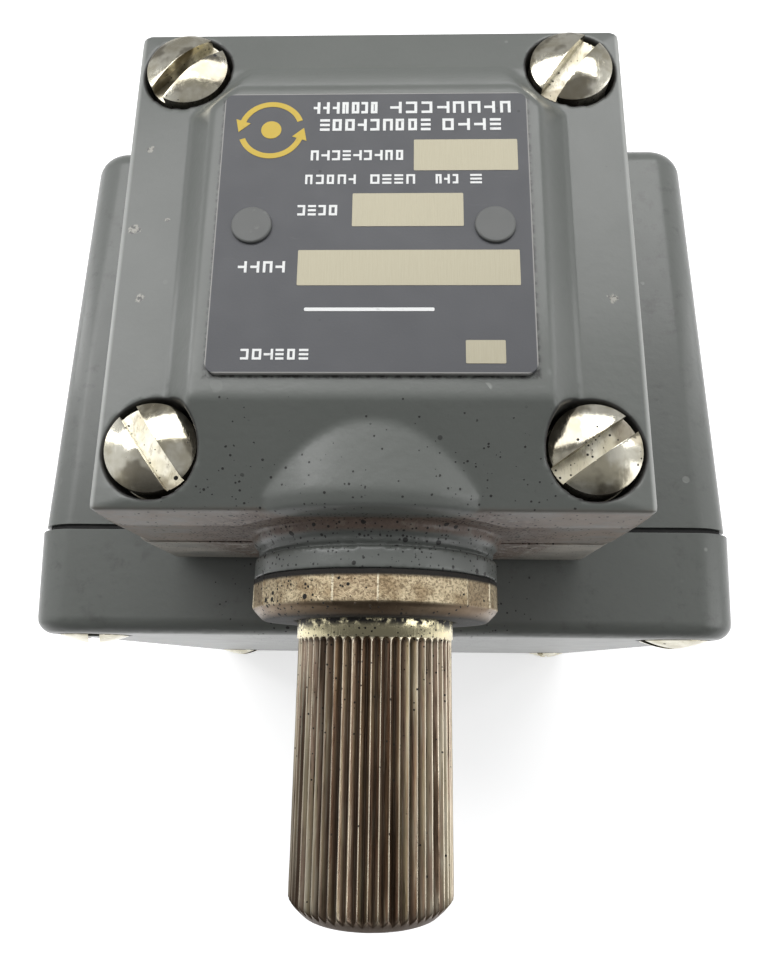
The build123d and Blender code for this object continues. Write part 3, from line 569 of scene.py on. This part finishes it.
# ------------------------------------------------------------------ operating shaft
def make_shaft():
    """The serrated shaft: round-bottomed grooves that run out in scallops at the root, and through the bevel at the tip."""
    teeth, per_tooth = 54, 16
    spokes = teeth * per_tooth
    depth, crest_share = 0.72 * MM, 0.07
    run_out, bevel = 0.8 * MM, 1.5 * MM
    land_front = nut_low.y - 2.0 * MM
    tip = shaft_low.y
    luck = random.Random(7)
    depths = [luck.uniform(0.86, 1.06) for _ in range(teeth)]
    shifts = [luck.uniform(-0.07, 0.07) for _ in range(teeth)]

    def ring(y):
        serrated = y < land_front
        left_over = max(0.0, 1 - max(0.0, land_front - y) / run_out)
        closing = 1 - math.sqrt(max(0.0, 1 - left_over ** 2))
        into_bevel = max(0.0, tip + bevel - y)
        most = (crest_r if serrated else shaft_r) - into_bevel * (0.75 + 0.25 * into_bevel / bevel)
        points = []
        for n in range(spokes):
            tooth, place = divmod(n / per_tooth, 1)
            place += shifts[int(tooth)] * math.sin(math.pi * place)
            across = max(0.0, 1 - abs(2 * place - 1) - crest_share) / (1 - crest_share)
            groove = across ** 0.6 * depths[int(tooth)]
            turn = 2 * math.pi * n / spokes
            worn = noise.noise(Vector((math.sin(turn) * 12, y / MM * 0.3, math.cos(turn) * 12))) * 0.03 * MM
            radius = min(crest_r - max(0.0, groove - closing) * depth, most) if serrated else most
            points.append(on_shaft(radius + worn * serrated, y, turn))
        return points

    barrel = land_front - run_out - tip - bevel
    places = [nut_low.y + 3.5 * MM, nut_low.y, land_front + 0.02 * MM]
    places += [land_front - 0.01 * MM - run_out * n / 14 for n in range(15)]
    places += [land_front - run_out - barrel * n / 30 for n in range(1, 31)]
    places += [tip + bevel * (1 - n / 9) for n in range(1, 10)]
    rings = [ring(y) for y in places]
    for share, sink in ((0.62, 0.0), (0.2, 0.0), (0.12, 0.5)):
        rings.append([on_shaft(shaft_r * share, tip + sink * MM, 2 * math.pi * n / spokes) for n in range(spokes)])
    return shown("serrated_shaft", as_mesh("serrated_shaft", skin(rings)), "shaft", "shaft")


# ------------------------------------------------------------------ bearing nut
def make_nut():
    """The bearing nut: a hexagon bar turned down until only narrow flats are left between round corners."""
    spokes = 1080
    flat_at = math.radians(nut_flat_at)
    flat_r = 14.79 * MM
    back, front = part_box("head_cap")[0].y - 0.05 * MM, nut_low.y
    bevel = 1.3 * MM
    bore = 9.8 * MM
    back_edge = 0.25 * MM
    outline = [(bore + 0.6 * MM, back), (nut_r - back_edge, back)]
    outline += [(nut_r - back_edge * (1 - math.sin(t * math.pi / 8)),
                 back - back_edge * (1 - math.cos(t * math.pi / 8))) for t in range(1, 5)]
    side = back - back_edge - (front + bevel)
    outline += [(nut_r, back - back_edge - side * n / 14) for n in range(1, 14)]
    outline += [(nut_r - 0.03 * MM, front + bevel + 0.05 * MM), (nut_r - 0.12 * MM, front + bevel - 0.06 * MM)]
    outline += [(nut_r - bevel * n / 6, front + bevel * (1 - n / 6)) for n in range(1, 6)]
    outline += [(nut_r - bevel - 0.10 * MM, front + 0.02 * MM), (nut_r - bevel - 0.3 * MM, front)]
    outline += [(bore + 0.35 * MM, front), (bore + 0.1 * MM, front + 0.1 * MM)]
    outline += [(bore, front + 0.4 * MM), (bore, back)]
    rings = []
    for radius, y in outline:
        rough = 1.0 if radius > nut_r - 0.28 * MM and front + bevel < y else 0.15
        ring = []
        for n in range(spokes):
            turn = 2 * math.pi * n / spokes
            off = (turn - flat_at + math.pi / 6) % (math.pi / 3) - math.pi / 6
            flat = flat_r / math.cos(off)
            r = min(radius, flat + (radius - nut_r) * 0.6) if radius > nut_r - bevel * 0.9 else radius
            edge = abs(abs(off) - math.radians(9.6))
            rib = 0.09 * MM * max(0.0, 1 - edge / math.radians(0.7)) * (rough > 0.5)
            sand = noise.noise(Vector((math.sin(turn) * 34, y / MM * 2.2, math.cos(turn) * 34)))
            grain = sand * 0.030 * MM * rough
            ring.append(on_shaft(r + rib + grain, y, turn))
        rings.append(ring)
    return shown("bearing_nut_piece", as_mesh("bearing_nut_piece", skin(rings, closed=True)), "nut", "housing")


# ------------------------------------------------------------------ nameplate print
def patches(name, shapes, finish):
    """Thin flat shapes lying on the nameplate. Each shape is a loop of (x, y) in millimetres from its middle."""
    shell = bmesh.new()
    top = plate_high.z + 0.03 * MM
    for number, loop in enumerate(shapes):
        level = top + number % 4 * 0.003 * MM
        high = [shell.verts.new((plate.x + x * MM, plate.y + y * MM, level)) for x, y in loop]
        low = [shell.verts.new((plate.x + x * MM, plate.y + y * MM, plate_high.z - 0.02 * MM)) for x, y in loop]
        shell.faces.new(high)
        shell.faces.new(list(reversed(low)))
        for n in range(len(loop)):
            m = (n + 1) % len(loop)
            shell.faces.new((high[m], high[n], low[n], low[m]))
    bmesh.ops.recalc_face_normals(shell, faces=shell.faces)
    return shown(name, as_mesh(name, shell), finish, "housing", sharp=30)


def block(left, low, right, high, corner=0.12):
    """A rectangle with rounded corners, as a loop of points."""
    loop = []
    for cx, cy, start in ((right - corner, high - corner, 0), (left + corner, high - corner, 90),
                          (left + corner, low + corner, 180), (right - corner, low + corner, 270)):
        for step in (0, 30, 60, 90):
            turn = math.radians(start + step)
            loop.append((cx + corner * math.cos(turn), cy + corner * math.sin(turn)))
    return loop


def word_marks(left, right, middle, height, letters, luck):
    """A row of plain stroke marks that stands for a printed word. None of them is a letter."""
    pitch = (right - left) / letters
    stroke = height * 0.21
    low, high = middle - height / 2, middle + height / 2
    for n in range(letters):
        start = left + n * pitch
        end = start + pitch * luck.uniform(0.66, 0.80)
        kind = luck.choice(("arch", "hook", "stack", "gate", "tee"))
        bars = {"arch": [(start, low, start + stroke, high), (end - stroke, low, end, high),
                         (start, high - stroke, end, high)],
                "hook": [(end - stroke, low, end, high), (start, high - stroke, end, high),
                         (start, low, end, low + stroke)],
                "stack": [(start, low, end, low + stroke), (start, high - stroke, end, high),
                          (start, middle - stroke / 2, end, middle + stroke / 2)],
                "gate": [(start, low, start + stroke, high), (end - stroke, low, end, high),
                         (start, low, end, low + stroke), (start, high - stroke, end, high)],
                "tee": [(end - stroke, low, end, high), (start, middle - stroke / 2, end, middle + stroke / 2)]}
        for bar in bars[kind]:
            yield block(*bar, 0.03)


def arc_band(inner, outer, start, end, x, y, steps=28):
    """A curved band, as a loop of points."""
    turns = [math.radians(start + (end - start) * n / steps) for n in range(steps + 1)]
    loop = [(x + outer * math.cos(t), y + outer * math.sin(t)) for t in turns]
    return loop + [(x + inner * math.cos(t), y + inner * math.sin(t)) for t in reversed(turns)]


def print_nameplate():
    fields = [(4.4, 6.9, 15.9, 10.9), (-2.3, -0.1, 9.8, 4.0), (-8.0, -7.2, 15.7, -3.0), (9.8, -16.1, 13.9, -13.5)]
    patches("nameplate_fields", [block(*field) for field in fields], "bare")
    luck = random.Random(3)
    words = []
    for left, right, middle, height, letters in (
            (-7.0, 0.6, 15.2, 1.55, 7), (1.7, 15.9, 15.2, 1.55, 8),
            (-6.2, 6.6, 12.9, 1.55, 9), (7.6, 14.7, 12.9, 1.55, 4),
            (-7.1, 3.6, 8.9, 1.3, 9), (-7.6, -1.6, 5.8, 1.2, 5), (-0.4, 4.9, 5.8, 1.2, 4), (6.8, 9.6, 5.8, 1.2, 3),
            (10.6, 12.2, 5.8, 1.2, 1), (-8.3, -3.7, 1.9, 1.3, 4), (-14.4, -9.0, -5.0, 1.35, 4),
            (-13.5, -6.2, -15.1, 1.2, 6)):
        words += list(word_marks(left, right, middle, height, letters, luck))
    words.append(block(-7.1, -10.2, 6.6, -9.8, 0.15))
    patches("nameplate_word_marks", words, "white")
    x, y = -11.7, 12.3
    emblem = [arc_band(3.1, 3.75, 20, 160, x, y), arc_band(3.1, 3.75, 200, 340, x, y),
              arc_band(0.0, 1.15, 0, 359, x, y)[:29]]
    for turn in (160, 340):
        c, s = math.cos(math.radians(turn)), math.sin(math.radians(turn))
        emblem.append([(x + 2.55 * c, y + 2.55 * s), (x + 4.3 * c, y + 4.3 * s),
                       (x + 3.4 * c - 1.5 * s, y + 3.4 * s + 1.5 * c)])
    patches("nameplate_emblem", emblem, "yellow")


# ------------------------------------------------------------------ springs
def coil(name, node, coil_r, wire_r, turns, top_fixed_z, low_moving_z):
    """A coil spring that fills the imported spring's place, between the housing above and the plunger below."""
    low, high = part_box(node)
    middle = (low + high) / 2
    steps, sides = int(turns * 28), 10
    rings = []
    for n in range(steps + 1):
        share = n / steps
        flat_ends = min(1.0, max(0.0, (share * turns - 0.8) / (turns - 1.6)))
        z = low.z + wire_r + (high.z - low.z - 2 * wire_r) * flat_ends
        turn = 2 * math.pi * turns * share
        centre = Vector((middle.x + coil_r * math.cos(turn), middle.y + coil_r * math.sin(turn), z))
        outward = Vector((math.cos(turn), math.sin(turn), 0))
        rings.append([centre + (outward * math.cos(2 * math.pi * k / sides)
                                + Vector((0, 0, 1)) * math.sin(2 * math.pi * k / sides)) * wire_r
                      for k in range(sides)])
    piece = shown(name, as_mesh(name, skin(rings)), "wire", None, (node,))
    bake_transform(piece)


def make_springs():
    for name, coil_r, wire_r, turns in (("upper_centring_spring", 3.6, 0.4, 5),
                                        ("lower_centring_spring", 5.8, 0.45, 6)):
        low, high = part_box(name)
        coil(f"{name}_wire", name, coil_r * MM, wire_r * MM, turns, high.z, low.z)


# ------------------------------------------------------------------ the rest of the pieces
soften_cap()
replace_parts(make_shaft(), "operating_shaft")
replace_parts(make_nut(), "bearing_nut")
print_nameplate()
make_springs()

EASED = {
    ("enamel", "enamel"): {"head_base": 0.4, "enclosure_body": 0.5, "enclosure_cover": 0.5},
    ("rubber", "gasket_rubber"): {"cover_gasket": 0.1, "cap_gasket": 0.1, "head_gasket": 0.1, "shaft_seal": 0.15,
                                  "plunger_seal": 0.15},
    ("screw_zinc", "bright_zinc"): {"head_screws": 0.14, "head_lock_washers": 0.12},
    ("zinc", "bright_zinc"): {"conduit_bushing": 0.2, "cover_screws": 0.14, "cover_screw_washers": 0.12,
                              "base_screws": 0.12, "contact_block_screws": 0.12, "terminal_clamps": 0.15,
                              "terminal_screws": 0.1, "ground_washer": 0.1, "crank_screw": 0.08},
    ("green", "green_zinc"): {"ground_screw": 0.12},
    ("plate", "plate_anodised"): {"nameplate": 0.1},
    ("rivet", "rivet_alloy"): {"nameplate_rivets": 0.06},
    ("bronze", "sleeve_bronze"): {"bearing_sleeve": 0.15, "plunger_guide": 0.15},
    ("steel", "machined_steel"): {"thrust_washer": 0.1, "crank_disc": 0.25, "crank_pin": 0.12,
                                  "yoke_plunger": 0.2, "spring_collar": 0.15},
    ("wire", "spring_steel"): {"upper_bridge_spring": 0.03, "lower_bridge_spring": 0.03},
    ("phenolic", "phenolic"): {"contact_block_base": 0.2, "contact_block_cover": 0.2},
    ("nylon", "carrier_nylon"): {"contact_carrier": 0.2},
    ("brass", "contact_brass"): {"upper_contact_bridge": 0.1, "lower_contact_bridge": 0.1,
                                 "left_fixed_contacts": 0.1, "right_fixed_contacts": 0.1},
    ("silver", "contact_silver"): {"bridge_tips": 0.1, "fixed_contact_tips": 0.1},
}
body_of = {node: body for body, members in frame["record"]["behaviour"]["bodies"].items() for node in members}
for (finish, slot), edges in EASED.items():
    for node, edge in edges.items():
        eased(node, edge, finish, body_of[node])


# ------------------------------------------------------------------ floor, light and camera
def lay_floor():
    """A round glowing floor under the enclosure's flat bottom."""
    shell = bmesh.new()
    bmesh.ops.create_circle(shell, cap_ends=True, radius=2.5, segments=96)
    floor = bpy.data.objects.new("floor", as_mesh("floor", shell))
    floor.data.materials.append(floor_finish("pale_floor"))
    floor.location = (0, head.y, body_low.z - 0.02 * MM)
    bpy.context.scene.collection.objects.link(floor)


def hang_light(name, place, size, power):
    """A square soft light that faces the head. Place is in millimetres from the middle of the head's rim."""
    lamp = bpy.data.lights.new(name, "AREA")
    lamp.shape, lamp.size, lamp.size_y = "RECTANGLE", size[0] * MM, size[1] * MM
    lamp.energy = power
    piece = bpy.data.objects.new(name, lamp)
    target = Vector((head.x, head.y, rim_z))
    piece.location = target + Vector(place) * MM
    piece.rotation_euler = (target - piece.location).to_track_quat("-Z", "Y").to_euler()
    bpy.context.scene.collection.objects.link(piece)


def set_camera():
    """A close wide-angle view of the head, from above and a little in front."""
    lens = bpy.data.cameras.new("camera")
    lens.sensor_width, lens.lens = 36.0, 27.0
    lens.clip_start, lens.clip_end = 5 * MM, 20.0
    camera = bpy.data.objects.new("camera", lens)
    ahead = Vector((-0.02353, 0.2507, -0.9678)).normalized()
    down = Vector((0.00505, -0.9680, -0.2509))
    down = (down - ahead * down.dot(ahead)).normalized()
    right = down.cross(ahead)
    turn = Matrix((right, -down, -ahead)).transposed().to_4x4()
    from_head = Vector((3.7, -46.5, 74.3)) * MM
    camera.matrix_world = Matrix.Translation(Vector((head.x, head.y, rim_z)) + from_head) @ turn
    bpy.context.scene.collection.objects.link(camera)
    bpy.context.scene.camera = camera


def set_room():
    """A grey room: brighter to the sides and behind the switch, dim in front of it."""
    world = bpy.data.worlds.new("studio")
    world.use_nodes = True
    room = Nodes(world.node_tree)
    across, back, up = room.node("ShaderNodeTexCoord", out="Generated").parts()
    front = back.over(-0.12, -0.50)
    sides = abs(across).over(0.45, 0.85) * (1 - front * 0.6) * (across.over(-0.2, 0.2) * 0.2 + 0.7)
    light = (0.56 - front * 0.40) + sides * 0.65
    light = light * (up.over(-0.35, -0.02) * 0.6 + 0.4)
    background = world.node_tree.nodes["Background"]
    room.put(background.inputs["Color"], room.mix(light, (0.0, 0.0, 0.0), (0.985, 0.99, 1.0)))
    background.inputs["Strength"].default_value = 0.75
    bpy.context.scene.world = world


lay_floor()
hang_light("window_light", (-85, 402, 566), (1260, 350), 4.95)
hang_light("side_light", (560, -140, 240), (300, 420), 0.5)
hang_light("left_strip", (-600, 250, 150), (90, 700), 0.6)
hang_light("right_strip", (600, 250, 150), (90, 700), 0.35)
set_camera()
set_room()
bpy.context.scene.view_settings.view_transform = "Standard"
